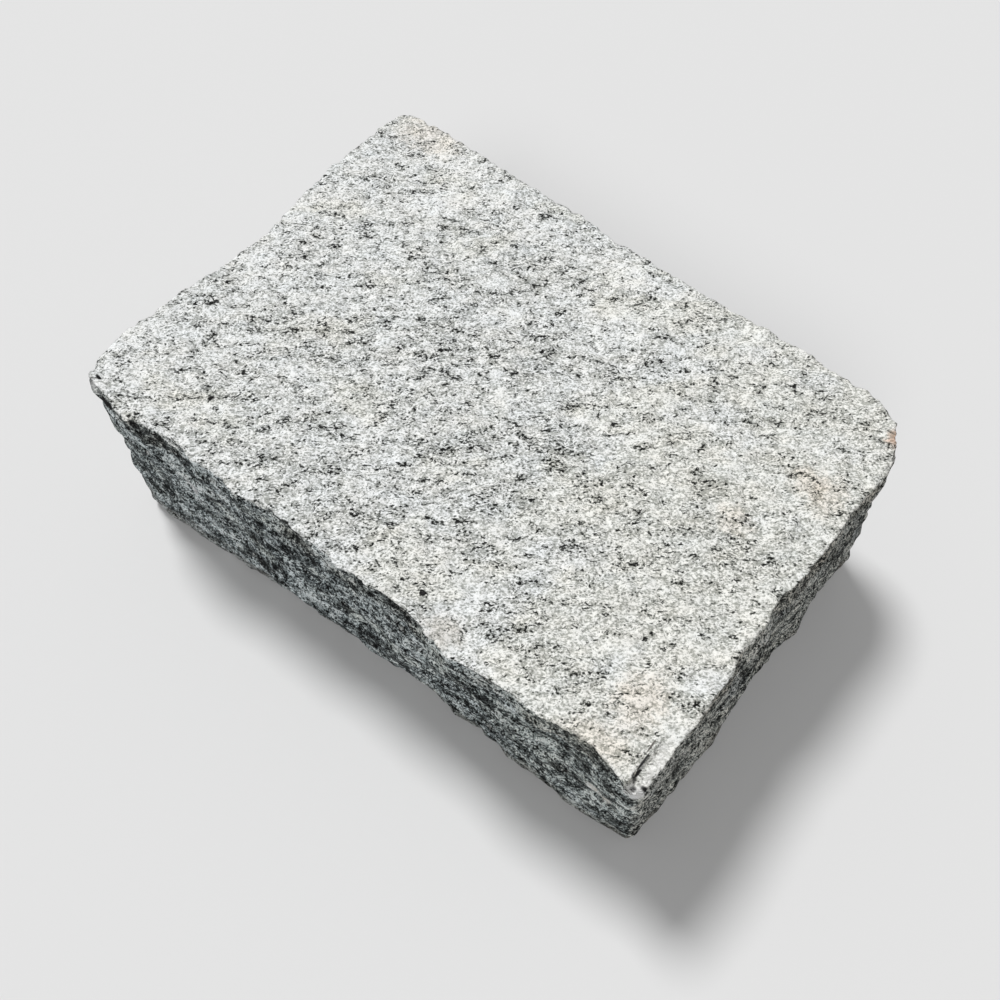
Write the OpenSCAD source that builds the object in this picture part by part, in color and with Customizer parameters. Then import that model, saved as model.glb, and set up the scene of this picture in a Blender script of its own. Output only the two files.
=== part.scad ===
// Hand-split granite paving block of the kind called a belgian block: one piece of stone.
// X runs along the long sides, Y from the front side to the back side, and Z up.
// The origin is on the ground, under the middle of the block. Sizes are millimetres.

/* [Block] */
// Length of the top along the long sides, which its rough ends stay within
block_l = 256; // [180:1:330]
// Width of the top from front to back, which its rough sides stay within
block_w = 190; // [120:1:240]
// Height from the ground to the high spots of the top
block_h = 88; // [60:1:140]

/* [Plan of the top] */
// How far the front left corner stands in from the left end
front_left_in = 9; // [0:1:25]
// How far the front edge has come in at the front right corner
front_right_in = 6; // [0:1:25]
// How far the back edge has come in at the back right corner
back_right_in = 11; // [0:1:25]
// Length of side that the broken front left corner takes
front_left_cut = 25; // [4:1:40]
// Length of side that the broken front right corner takes
front_right_cut = 8; // [4:1:40]
// Length of side that the broken back right corner takes
back_right_cut = 32; // [4:1:40]
// Length of side that the broken back left corner takes
back_left_cut = 11; // [4:1:40]
// Share of those four lengths that is broken off at the foot
foot_cut_share = 0.6; // [0.3:0.05:1]

/* [Sides] */
// How far the foot of the front side leans in under the top at its left end
front_lean_left = 4.5; // [-8:0.5:14]
// How far the foot of the front side leans in under the top at its right end
front_lean_right = 12; // [-8:0.5:14]
// How far the foot of the right end leans in at its front, less than 0 where it stands out
right_lean_front = 0; // [-8:0.5:14]
// How far the foot of the right end leans in at its back, less than 0 where it stands out
right_lean_back = -4; // [-8:0.5:14]
// How far the foot of the back side leans in under the top
back_lean = 6; // [-8:0.5:14]
// How far the foot of the left end leans in, less than 0 where it stands out
left_lean = -3; // [-8:0.5:14]
// Depth of the waves that splitting left in the sides
side_wave = 1.6; // [0:0.1:4]
// Depth of the hollows in the top
top_wave = 1.6; // [0:0.1:3]

/* [Edges] */
// How far down the sides the worn top edge reaches
top_edge_drop = 2.5; // [1:0.5:8]
// How far in over the top the worn top edge reaches
top_edge_in = 1.5; // [1:0.5:8]
// How far up the sides the worn foot reaches
foot_edge_rise = 5; // [2:0.5:12]
// How far in under the block the worn foot reaches
foot_edge_in = 3; // [1:0.5:8]
// How far down the sides the flakes lost from the top edge reach
flake_drop = 34; // [10:1:50]

/* [Front right corner flake] */
// Width that the flake takes along the front side
corner_flake_x = 7; // [4:1:30]
// Length that the flake takes along the right end
corner_flake_y = 24; // [8:1:50]
// Depth of the flake at the corner
corner_flake_z = 5; // [1:0.5:15]

/* [Hidden] */

// Flakes lost from the top edge: place round the block, half length, depth.
// A place counts the corners passed, from the front left corner by way of the front:
// 0 to 1 is the front side, 1 to 2 the right end, 2 to 3 the back, 3 to 4 the left end.
FLAKES = [
    [0.05, 12, 2.5], [0.10, 13, 2.5], [0.206, 25, 4.4], [0.295, 11, 4.2], [0.428, 38, 4.7],
    [0.51, 37, 4.9], [0.617, 31, 4.9], [0.795, 36, 3.4], [0.879, 20, 4.2], [0.913, 12, 4.3],
    [1.096, 23, 1.8], [1.241, 29, 0.9], [1.347, 12, 3.6], [1.452, 15, 2.6], [1.719, 16, 1.5],
    [2.12, 16, 1.2], [2.34, 46, 3.8], [2.52, 11, 2.4],
    [3.13, 9, 1], [3.30, 9, 1.5], [3.53, 46, 7], [3.80, 9, 1],
];
// Hollows split out of the sides: place, half length, depth, then the height of the middle
// and half of the reach up and down, both as shares of the block's height
HOLLOWS = [
    [0.10, 26, 2.5, 0.60, 0.29], [0.28, 30, 4, 0.56, 0.33], [0.50, 32, 3.5, 0.64, 0.27],
    [0.72, 30, 4, 0.49, 0.31], [0.88, 20, 2.5, 0.67, 0.24],
    [1.22, 22, 3, 0.58, 0.29], [1.50, 24, 3.5, 0.44, 0.27], [1.80, 22, 3, 0.62, 0.27],
    [2.20, 32, 3.5, 0.49, 0.31], [2.45, 28, 3, 0.67, 0.24], [2.68, 34, 4, 0.51, 0.31],
    [2.90, 20, 2.5, 0.60, 0.27],
    [3.25, 26, 3, 0.53, 0.31], [3.48, 24, 3, 0.36, 0.24], [3.74, 28, 4, 0.56, 0.31],
];
// Flakes lost from the foot: the same five numbers
FOOT_FLAKES = [
    [0.20, 12, 1.3, 0, 0.28], [0.33, 36, 4.2, 0, 0.32], [0.52, 44, 5, 0, 0.27],
    [0.595, 32, 5, 0, 0.34], [0.735, 13, 3.4, 0, 0.28], [0.86, 24, 1.7, 0, 0.24],
    [1.03, 24, 2.2, 0, 0.28], [1.17, 15, 1.8, 0, 0.24], [1.49, 28, 5.2, 0, 0.32],
    [1.575, 22, 5.7, 0, 0.32], [1.80, 20, 6, 0, 0.35],
    [2.14, 24, 3, 0, 0.24], [2.40, 36, 4, 0, 0.30], [2.66, 22, 2.5, 0, 0.20],
    [2.86, 18, 3.5, 0, 0.26],
    [3.20, 22, 3, 0, 0.24], [3.44, 16, 2, 0, 0.18], [3.68, 32, 4, 0, 0.30],
];

ARC_STEPS = 4;               // steps round each broken corner
SIDE_STEP_L = 7.5;           // length of a step along the sides
SIDE_WAVES = [7, 13];        // waves round the block, the long ones and the short ones
SIDE_SLANTS = [2.1, -3.2];   // degrees by which they turn with each millimetre of height
SIDE_SHIFT = 30;             // degrees by which the long ones are turned

LEVELS = 8;                  // rings up the sides between the two worn edges
EDGE_TURNS = [30, 60, 90];   // angles of the rings round a worn edge
TOP_RINGS = [0.08, 0.28, 0.55, 0.8];   // shares of the way in to the middle of the top
TOP_WAVE_L = 95;             // length of the waves over the top
TOP_SLANTS = [0.4, -0.6];    // how far each set of them slants across the other
TOP_SHIFT = 70;              // degrees by which the second set is shifted
WASTE = 3;                   // depth of the foot that the ground plane trims off

half_l = block_l / 2;
half_w = block_w / 2;
// Lean of each side where it starts and where it ends
LEANS = [
    [front_lean_left, front_lean_right],
    [right_lean_front, right_lean_back],
    [back_lean, back_lean],
    [left_lean, left_lean],
];
CUTS = [front_left_cut, front_right_cut, back_right_cut, back_left_cut];
TOP_CORNERS = [
    [-half_l + front_left_in, -half_w],
    [half_l, -half_w + front_right_in],
    [half_l, half_w - back_right_in],
    [-half_l, half_w],
];
INWARD = [[0, 1], [-1, 0], [0, -1], [1, 0]];

function mix(a, b, share) = a + (b - a) * share;
function unit(v) = v / norm(v);

// A smooth bump, 1 at the middle and 0 from one reach away
function bump(offset, reach) = abs(offset) < reach ? pow(1 - pow(offset / reach, 2), 2) : 0;

// Way from one place round the block to another, in corners passed, from -2 to 2
function way(from, to) = let(turn = to - from) turn - 4 * round(turn / 4);

// Corner k at the height of z, which leans with the two sides that meet there
function corner(k, z) =
    let(before = (k + 3) % 4)
    TOP_CORNERS[k] + (INWARD[k] * LEANS[k][0] + INWARD[before] * LEANS[before][1])
    * (1 - z / block_h);

// Length of side k along the top
function side_l(k) = norm(TOP_CORNERS[(k + 1) % 4] - TOP_CORNERS[k]);

// Share of side k that a length of it is
function share_of(k, length) = length / side_l(k);

// Point on the broken corner k, a curve from one side to the next, with share from 0 to 1
function corner_point(k, share, z) =
    let(p = corner(k, z),
        cut = CUTS[k] * mix(foot_cut_share, 1, max(z, 0) / block_h),
        a = p + unit(corner((k + 3) % 4, z) - p) * cut,
        b = p + unit(corner((k + 1) % 4, z) - p) * cut)
    mix(mix(a, p, share), mix(p, b, share), share);

// Places round the block and, for each, whether it lies on a broken corner or a straight side:
// [place, corner or side number, true on a corner, share along it]
STATIONS = [
    for (k = [0:3]) each concat(
        [for (i = [0:ARC_STEPS])
            let(s = i / ARC_STEPS,
                before = share_of((k + 3) % 4, CUTS[k]),
                after = share_of(k, CUTS[k]))
            [k + mix(-before, after, s), k, true, s]],
        let(steps = round(side_l(k) / SIDE_STEP_L),
            first = share_of(k, CUTS[k]),
            last = 1 - share_of(k, CUTS[(k + 1) % 4]))
        [for (i = [1:steps - 1])
            let(s = mix(first, last, i / steps))
            [k + s, k, false, s]]
    )
];

// Depth that the waves, the flakes and the hollows take from the sides at a place and height
function split_depth(place, z) =
    let(turn = 90 * place,
        long_wave = sin(SIDE_WAVES[0] * turn + SIDE_SLANTS[0] * z + SIDE_SHIFT),
        short_wave = sin(SIDE_WAVES[1] * turn + SIDE_SLANTS[1] * z),
        flakes = [for (f = FLAKES)
            f[2] * bump(way(f[0], place) * side_l(floor(f[0])), f[1])
            * bump(block_h - z, flake_drop)],
        hollows = [for (h = concat(HOLLOWS, FOOT_FLAKES))
            h[2] * bump(way(h[0], place) * side_l(floor(h[0])), h[1])
            * bump(max(z, 0) / block_h - h[3], h[4])])
    side_wave * (2 + long_wave + short_wave) / 4 + max(flakes) + max(hollows);

// Height of the top over a point, with shallow hollows where the stone split unevenly
function top_z(x, y) =
    let(turn = 360 / TOP_WAVE_L)
    block_h - top_wave * (2 + sin(turn * (x + TOP_SLANTS[0] * y))
                            + sin(turn * (y + TOP_SLANTS[1] * x) + TOP_SHIFT)) / 4;

// Ring round the sides at height z, taken in by an even inset and by the split
function ring(z, inset) = [
    for (s = STATIONS)
        let(k = s[1],
            p = s[2] ? corner_point(k, s[3], z)
                     : mix(corner(k, z), corner((k + 1) % 4, z), s[3]),
            inward = s[2] ? unit(mix(INWARD[(k + 3) % 4], INWARD[k], s[3])) : INWARD[k],
            q = p + inward * (inset + split_depth(s[0], z)))
        [q.x, q.y, z]
];

// A ring of the top: share 0 is the rim and share 1 the middle
function top_ring(rim, share) = [
    for (p = rim)
        let(x = p.x * (1 - share), y = p.y * (1 - share))
        [x, y, top_z(x, y)]
];

// The same ring, lowered at each point by the depth of the hollow in the top there
function sunk(points) = [for (p = points) [p.x, p.y, p.z - (block_h - top_z(p.x, p.y))]];

// Rings from the trimmed foot up to the rim, then in over the top
foot_rings = concat(
    [ring(-WASTE, foot_edge_in)],
    [for (a = EDGE_TURNS)
        ring(foot_edge_rise * (1 - cos(a)), foot_edge_in * (1 - sin(a)))]
);
side_bottom = foot_edge_rise;
side_top = block_h - top_edge_drop;
side_rings = [for (i = [1:LEVELS - 1]) ring(mix(side_bottom, side_top, i / LEVELS), 0)];
edge_rings = [
    for (a = concat([0], EDGE_TURNS))
        sunk(ring(side_top + top_edge_drop * sin(a), top_edge_in * (1 - cos(a))))
];
rim = edge_rings[len(edge_rings) - 1];
RINGS = concat(foot_rings, side_rings, edge_rings, [for (s = TOP_RINGS) top_ring(rim, s)]);
POINTS = [for (r = RINGS) each r];
// Middle of the rough stone's box, which the block is moved to stand over
MIDDLE = [for (axis = [0:1]) let(all = [for (p = POINTS) p[axis]]) (min(all) + max(all)) / 2];

// One closed shell over a stack of rings, with a middle point closing each end
module shell(rings) {
    n = len(rings[0]);
    last = len(rings) - 1;
    under = [0, 0, rings[0][0].z];
    over = [0, 0, top_z(0, 0)];
    points = concat([for (r = rings) each r], [under, over]);
    walls = [
        for (j = [0:last - 1], i = [0:n - 1])
            let(a = j * n + i, b = j * n + (i + 1) % n)
            each [[a, a + n, b], [b, a + n, b + n]]
    ];
    base_fan = [for (i = [0:n - 1]) [(i + 1) % n, (last + 1) * n, i]];
    top_fan = [for (i = [0:n - 1]) [last * n + i, (last + 1) * n + 1, last * n + (i + 1) % n]];
    polyhedron(points, concat(walls, base_fan, top_fan), convexity = 4);
}

// The sliver split off the front right corner: its floor dips from nothing to the full depth
module corner_flake() {
    tip = TOP_CORNERS[1];
    floor_l = norm([corner_flake_y, corner_flake_z]);
    translate([tip.x - corner_flake_x, tip.y + corner_flake_y, block_h])
        rotate([atan(corner_flake_z / corner_flake_y), 0, 0])
            translate([0, -2 * floor_l, 0])
                cube([2 * corner_flake_x, 2 * floor_l, 2 * floor_l]);
}

// The ground plane trims the shell to one flat foot
module ground() {
    translate([-block_l, -block_w, -2 * WASTE]) cube([2 * block_l, 2 * block_w, 2 * WASTE]);
}

module block() {
    color("gainsboro") translate(-MIDDLE) difference() {
        shell(RINGS);
        ground();
        corner_flake();
    }
}

block();
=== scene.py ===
"""Looks of a hand-split granite paving block, of the kind called a belgian block.

The block is one piece of stone. Its mesh starts from the solid that it stands for, gets the
relief that splitting and wear leave, and is covered by one granite finish.
"""
import itertools
import logging
import math
from dataclasses import dataclass
from enum import Enum
from typing import Any

import bpy
import numpy as np
from mathutils import Euler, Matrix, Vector


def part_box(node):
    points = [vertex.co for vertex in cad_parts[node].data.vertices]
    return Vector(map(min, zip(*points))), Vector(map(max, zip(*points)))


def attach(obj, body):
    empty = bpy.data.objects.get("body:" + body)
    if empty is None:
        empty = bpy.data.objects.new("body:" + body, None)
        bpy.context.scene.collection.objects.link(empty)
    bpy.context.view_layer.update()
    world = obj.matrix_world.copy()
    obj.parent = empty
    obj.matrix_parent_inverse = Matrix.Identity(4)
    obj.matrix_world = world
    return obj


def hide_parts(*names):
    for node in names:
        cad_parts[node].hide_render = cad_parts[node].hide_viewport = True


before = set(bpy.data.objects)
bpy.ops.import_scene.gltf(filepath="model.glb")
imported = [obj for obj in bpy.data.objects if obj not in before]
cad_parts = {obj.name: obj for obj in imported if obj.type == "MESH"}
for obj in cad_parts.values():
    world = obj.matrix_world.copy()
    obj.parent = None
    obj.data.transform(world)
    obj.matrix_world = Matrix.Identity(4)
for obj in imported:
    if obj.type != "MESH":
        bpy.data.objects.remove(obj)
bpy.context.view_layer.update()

MM = 0.001
GRAIN_TURN = (0.0, 0.0, math.radians(39.4))
BLOCK = "block"
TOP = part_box(BLOCK)[1].z / MM
LUMP_GAIN = 2.2

Colour = tuple[float, float, float]
Place = tuple[float, float, float]
Pair = tuple[float, float]
log = logging.getLogger("belgian_block")


class Face(Enum):
    """The kinds of surface that the stone has, each with relief of its own."""

    TOP = "top"
    SIDE = "side"
    FOOT = "foot"


# ---------------------------------------------------------------- relief of the mesh

def ease(values: np.ndarray, low: float, high: float) -> np.ndarray:
    """Rises smoothly from 0 to 1 between two limits.

    Args:
        values: numbers to ease.
        low: where the rise starts.
        high: where it ends.

    Returns:
        One number from 0 to 1 for each value.
    """
    share = np.clip((values - low) / (high - low), 0.0, 1.0)
    return share * share * (3.0 - 2.0 * share)


def scramble(cells: np.ndarray, seed: int) -> np.ndarray:
    """Turns the whole-number cells of a grid into well mixed whole numbers.

    Args:
        cells: rows of three whole numbers.
        seed: a number that makes one set of results differ from another.

    Returns:
        One whole number from 0 to 2**31 - 1 for each row.
    """
    mixed = cells[:, 0] * 73856093 ^ cells[:, 1] * 19349663 ^ cells[:, 2] * 83492791
    mixed = (mixed ^ (seed * 40503 + 977)) & 0x7FFFFFFF
    for shift, factor in ((15, 73244475), (13, 60493), (16, 19990303)):
        mixed = ((mixed ^ (mixed >> shift)) * factor) & 0x7FFFFFFF
    return mixed ^ (mixed >> 14)


def drawn(cells: np.ndarray, seed: int) -> np.ndarray:
    """Draws a number from 0 to 1 for each cell of a grid."""
    return scramble(cells, seed) / float(0x7FFFFFFF)


@dataclass(frozen=True)
class Lumps:
    """Smooth random relief with lumps of one size, the same on every run."""

    size: float
    seed: int

    def at(self, points: np.ndarray) -> np.ndarray:
        """Gives the relief at each point.

        Args:
            points: rows of X, Y and Z in the same unit as the size.

        Returns:
            Heights, mostly from -1 to 1.
        """
        scaled = points / self.size
        base = np.floor(scaled).astype(np.int64)
        part = scaled - base
        fade = part * part * part * (part * (part * 6.0 - 15.0) + 10.0)
        total = np.zeros(len(points))
        for corner in itertools.product((0, 1), repeat=3):
            cell = base + np.array(corner)
            turn = 2.0 * math.pi * drawn(cell, self.seed)
            tilt = 2.0 * drawn(cell, self.seed + 101) - 1.0
            flat = np.sqrt(np.maximum(0.0, 1.0 - tilt * tilt))
            slope = np.stack([flat * np.cos(turn), flat * np.sin(turn), tilt], axis=1)
            height = ((part - np.array(corner)) * slope).sum(axis=1)
            share = np.where(np.array(corner) == 1, fade, 1.0 - fade).prod(axis=1)
            total += share * height
        return LUMP_GAIN * total


@dataclass(frozen=True)
class Scoops:
    """Shell-shaped scoops with sharp ridges between them, as splitting leaves in stone."""

    size: float
    seed: int

    def at(self, points: np.ndarray) -> np.ndarray:
        """Gives the depth of the deepest scoop at each point.

        Args:
            points: rows of X, Y and Z in the same unit as the size.

        Returns:
            Depths from 0 at a ridge to about 1 in the middle of a deep scoop.
        """
        scaled = points / self.size
        base = np.floor(scaled).astype(np.int64)
        depth = np.zeros(len(points))
        for step in itertools.product((-1, 0, 1), repeat=3):
            cell = base + np.array(step)
            middle = cell + np.stack([drawn(cell, self.seed + k) for k in range(3)], axis=1)
            reach = 0.75 + 0.5 * drawn(cell, self.seed + 3)
            strength = 0.45 + 0.55 * drawn(cell, self.seed + 4)
            gap = ((scaled - middle) ** 2).sum(axis=1) / (reach * reach)
            depth = np.maximum(depth, strength * (1.0 - gap))
        return depth


@dataclass(frozen=True)
class Cut:
    """A groove or pit along a straight line, or a ridge where its depth is below 0."""

    start: Place
    end: Place
    reach: float
    depth: float

    def at(self, points: np.ndarray) -> np.ndarray:
        """Gives how deep the cut is at each point.

        Args:
            points: rows of X, Y and Z in millimetres.

        Returns:
            Depth in millimetres at each point.
        """
        start = np.array(self.start)
        way = np.array(self.end) - start
        share = np.clip((points - start) @ way / max(way @ way, 1e-6), 0.0, 1.0)
        away = np.linalg.norm(points - start - share[:, None] * way, axis=1)
        return self.depth * (1.0 - ease(away, 0.0, self.reach))


# Places are in millimetres in the block's own frame, from under the middle of its foot.
CUTS = (
    Cut((119.5, -71.3, 88.0), (120.7, -79.9, 88.0), 0.9, 0.45),
    Cut((120.7, -79.9, 88.0), (121.4, -82.9, 87.5), 1.1, 1.0),
    Cut((121.6, -83.0, 86.0), (122.6, -86.0, 84.0), 1.5, 1.5),
    Cut((113.0, -90.5, 86.5), (121.0, -90.0, 86.0), 7.0, 2.6),
    Cut((124.2, -86.0, 84.5), (126.2, -85.0, 84.0), 1.5, 1.5),
    Cut((127.2, -82.5, 84.0), (127.4, -81.5, 82.0), 2.2, 2.0),
    Cut((-106.4, -90.8, 80.0), (-94.5, -92.6, 84.0), 2.0, 0.4),
    Cut((-98.4, -92.6, 80.5), (-89.4, -93.2, 78.0), 1.6, 1.2),
    Cut((-109.4, -88.0, 86.5), (-107.9, -89.8, 83.5), 6.0, -1.4),
    Cut((-83.2, -92.8, 86.4), (-81.8, -92.8, 85.4), 2.0, 0.9),
    Cut((-91.4, -93.2, 84.0), (-85.9, -91.8, 66.0), 1.5, 1.4),
    Cut((-20.9, -87.5, 86.5), (-19.9, -87.5, 85.0), 1.8, 1.6),
)


@dataclass
class SplitStone:
    """The block: one stone with a dressed top, split sides and a flat foot."""

    name: str = "belgian_block_stone"
    body: str = "root"
    node: str = BLOCK
    slot: str = "granite"
    step: float = 0.8 * MM
    most_triangles: int = 190_000
    turn_over: Pair = (0.45, 0.85)
    top_relief: tuple[Pair, ...] = ((12.0, 0.5), (5.5, 0.7), (2.8, 0.5))
    top_drop: float = 0.3
    scoop_relief: tuple[Pair, ...] = ((15.0, 1.4), (7.0, 1.0), (4.0, 0.6))
    streak_relief: tuple[Pair, ...] = ((7.0, 0.7), (3.2, 0.5))
    streak_stretch: Place = (2.4, 2.0, 1.0)
    side_drop: float = 0.6
    rim_band: Pair = (10.0, 1.0)
    rim_relief: tuple[Pair, ...] = ((7.0, 0.6), (3.6, 0.7), (2.0, 0.5))
    foot_relief: tuple[Pair, ...] = ((14.0, 0.4), (4.0, 0.2))
    foot_drop: float = 0.4
    soften_factor: float = 0.5
    soften_rounds: int = 2
    top_seed: int = 11
    scoop_seed: int = 31
    streak_seed: int = 51
    foot_seed: int = 71
    rim_seed: int = 91
    seed_step: int = 7
    scoop_seed_step: int = 9

    def even_mesh(self) -> bpy.types.Mesh:
        """Covers the CAD solid with an even net of small faces.

        Returns:
            A new mesh with the solid's shape.
        """
        shape = bpy.data.objects.new("even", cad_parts[self.node].data.copy())
        bpy.context.scene.collection.objects.link(shape)
        net = shape.modifiers.new("net", "REMESH")
        net.mode = "VOXEL"
        net.voxel_size = self.step
        soften = shape.modifiers.new("soften", "SMOOTH")
        soften.factor = self.soften_factor
        soften.iterations = self.soften_rounds
        mesh = self.applied(shape)
        bpy.data.objects.remove(shape)
        return mesh

    @staticmethod
    def applied(shape: bpy.types.Object) -> bpy.types.Mesh:
        """Gives a new mesh with an object's modifiers applied."""
        graph = bpy.context.evaluated_depsgraph_get()
        return bpy.data.meshes.new_from_object(shape.evaluated_get(graph))

    def layers(self, points: np.ndarray, relief: tuple[Pair, ...], seed: int) -> np.ndarray:
        """Adds up layers of lumps.

        Args:
            points: rows of X, Y and Z in millimetres.
            relief: size and height of each layer's lumps in millimetres.
            seed: number of the first layer's draw.

        Returns:
            Height in millimetres at each point.
        """
        return sum(high * Lumps(size, seed + self.seed_step * k).at(points)
                   for k, (size, high) in enumerate(relief))

    def along_grain(self, points: np.ndarray) -> np.ndarray:
        """Turns points to the sheets that the stone's grains lie in and squeezes them there."""
        axes = np.array(Euler(GRAIN_TURN).to_matrix())
        return (points @ axes) / np.array(self.streak_stretch)

    def faces(self, normals: np.ndarray) -> dict[Face, np.ndarray]:
        """Says how far each point belongs to the top, the sides and the foot.

        Args:
            normals: rows of unit normals.

        Returns:
            A share from 0 to 1 at each point for each kind of surface, which add up to 1.
        """
        top = ease(normals[:, 2], *self.turn_over)
        foot = ease(-normals[:, 2], *self.turn_over)
        return {Face.TOP: top, Face.FOOT: foot, Face.SIDE: 1.0 - top - foot}

    def split_sides(self, points: np.ndarray, sideways: np.ndarray) -> np.ndarray:
        """Works out the scoops and streaks of the split sides.

        Args:
            points: rows of X, Y and Z in millimetres.
            sideways: how far each point belongs to the sides, from 0 to 1.

        Returns:
            Distance out in millimetres at each point, below 0 by the side's drop on average.
        """
        scoops = sum(deep * Scoops(size, self.scoop_seed + self.scoop_seed_step * k).at(points)
                     for k, (size, deep) in enumerate(self.scoop_relief))
        side = self.layers(self.along_grain(points), self.streak_relief, self.streak_seed) - scoops
        return side - (np.average(side, weights=sideways) + self.side_drop)

    def rim_chips(self, points: np.ndarray) -> np.ndarray:
        """Works out how deep the small chips under the rim are.

        Args:
            points: rows of X, Y and Z in millimetres.

        Returns:
            Depth in millimetres at each point.
        """
        low, high = (TOP - below for below in self.rim_band)
        chips = np.maximum(0.0, self.layers(points, self.rim_relief, self.rim_seed))
        return ease(points[:, 2], low, high) * chips

    def relief(self, points: np.ndarray, normals: np.ndarray) -> np.ndarray:
        """Works out how far the stone stands out or in at each point.

        Args:
            points: rows of X, Y and Z in millimetres.
            normals: rows of unit normals.

        Returns:
            Distance out along the normal in millimetres, less than 0 for in.
        """
        share = self.faces(normals)
        top = self.layers(points, self.top_relief, self.top_seed) - self.top_drop
        foot = self.layers(points, self.foot_relief, self.foot_seed) - self.foot_drop
        side = self.split_sides(points, share[Face.SIDE]) - self.rim_chips(points)
        cuts = sum(cut.at(points) for cut in CUTS)
        return share[Face.TOP] * top + share[Face.SIDE] * side + share[Face.FOOT] * foot - cuts

    def build(self) -> bpy.types.Object:
        """Builds the stone and puts it in the scene.

        Returns:
            The stone's object.
        """
        mesh = self.even_mesh()
        count = len(mesh.vertices)
        points = np.zeros(3 * count)
        normals = np.zeros(3 * count)
        mesh.vertices.foreach_get("co", points)
        mesh.vertices.foreach_get("normal", normals)
        points, normals = points.reshape(-1, 3) / MM, normals.reshape(-1, 3)
        points += normals * self.relief(points, normals)[:, None]
        points[:, 2] = np.maximum(0.0, points[:, 2])
        mesh.vertices.foreach_set("co", (points * MM).ravel())
        mesh.update()
        stone = bpy.data.objects.new(self.name, mesh)
        bpy.context.scene.collection.objects.link(stone)
        self.lighten(stone)
        stone.data.polygons.foreach_set("use_smooth", [True] * len(stone.data.polygons))
        return stone

    def lighten(self, stone: bpy.types.Object) -> None:
        """Merges the faces of the flatter parts until few enough are left.

        Args:
            stone: the stone's object.
        """
        triangles = sum(len(face.vertices) - 2 for face in stone.data.polygons)
        if triangles > self.most_triangles:
            fewer = stone.modifiers.new("fewer", "DECIMATE")
            fewer.ratio = self.most_triangles / triangles
            mesh = self.applied(stone)
            stone.modifiers.clear()
            stone.data = mesh

    def dress(self, stone: bpy.types.Object, finish: bpy.types.Material) -> None:
        """Gives the stone its finish and its place in the model.

        Args:
            stone: the stone's object.
            finish: the material that covers it.
        """
        stone.data.materials.clear()
        stone.data.materials.append(finish)
        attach(stone, self.body)
        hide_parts(self.node)


# ---------------------------------------------------------------- finishes

class Wire:
    """A value, vector or colour that varies over a surface and can be used in maths."""

    def __init__(self, shader: "Shader", socket: bpy.types.NodeSocket) -> None:
        """Wraps an output socket of a shader's node."""
        self.shader = shader
        self.socket = socket

    def __add__(self, other: "Operand") -> "Wire":
        """Adds."""
        return self.shader.maths("ADD", self, other)

    def __radd__(self, other: "Operand") -> "Wire":
        """Adds, from the right."""
        return self.shader.maths("ADD", other, self)

    def __sub__(self, other: "Operand") -> "Wire":
        """Takes away."""
        return self.shader.maths("SUBTRACT", self, other)

    def __rsub__(self, other: "Operand") -> "Wire":
        """Takes away from what stands on the left."""
        return self.shader.maths("SUBTRACT", other, self)

    def __mul__(self, other: "Operand") -> "Wire":
        """Multiplies."""
        return self.shader.maths("MULTIPLY", self, other)

    def __rmul__(self, other: "Operand") -> "Wire":
        """Multiplies, from the right."""
        return self.shader.maths("MULTIPLY", other, self)


Operand = Wire | float | Place


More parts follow.
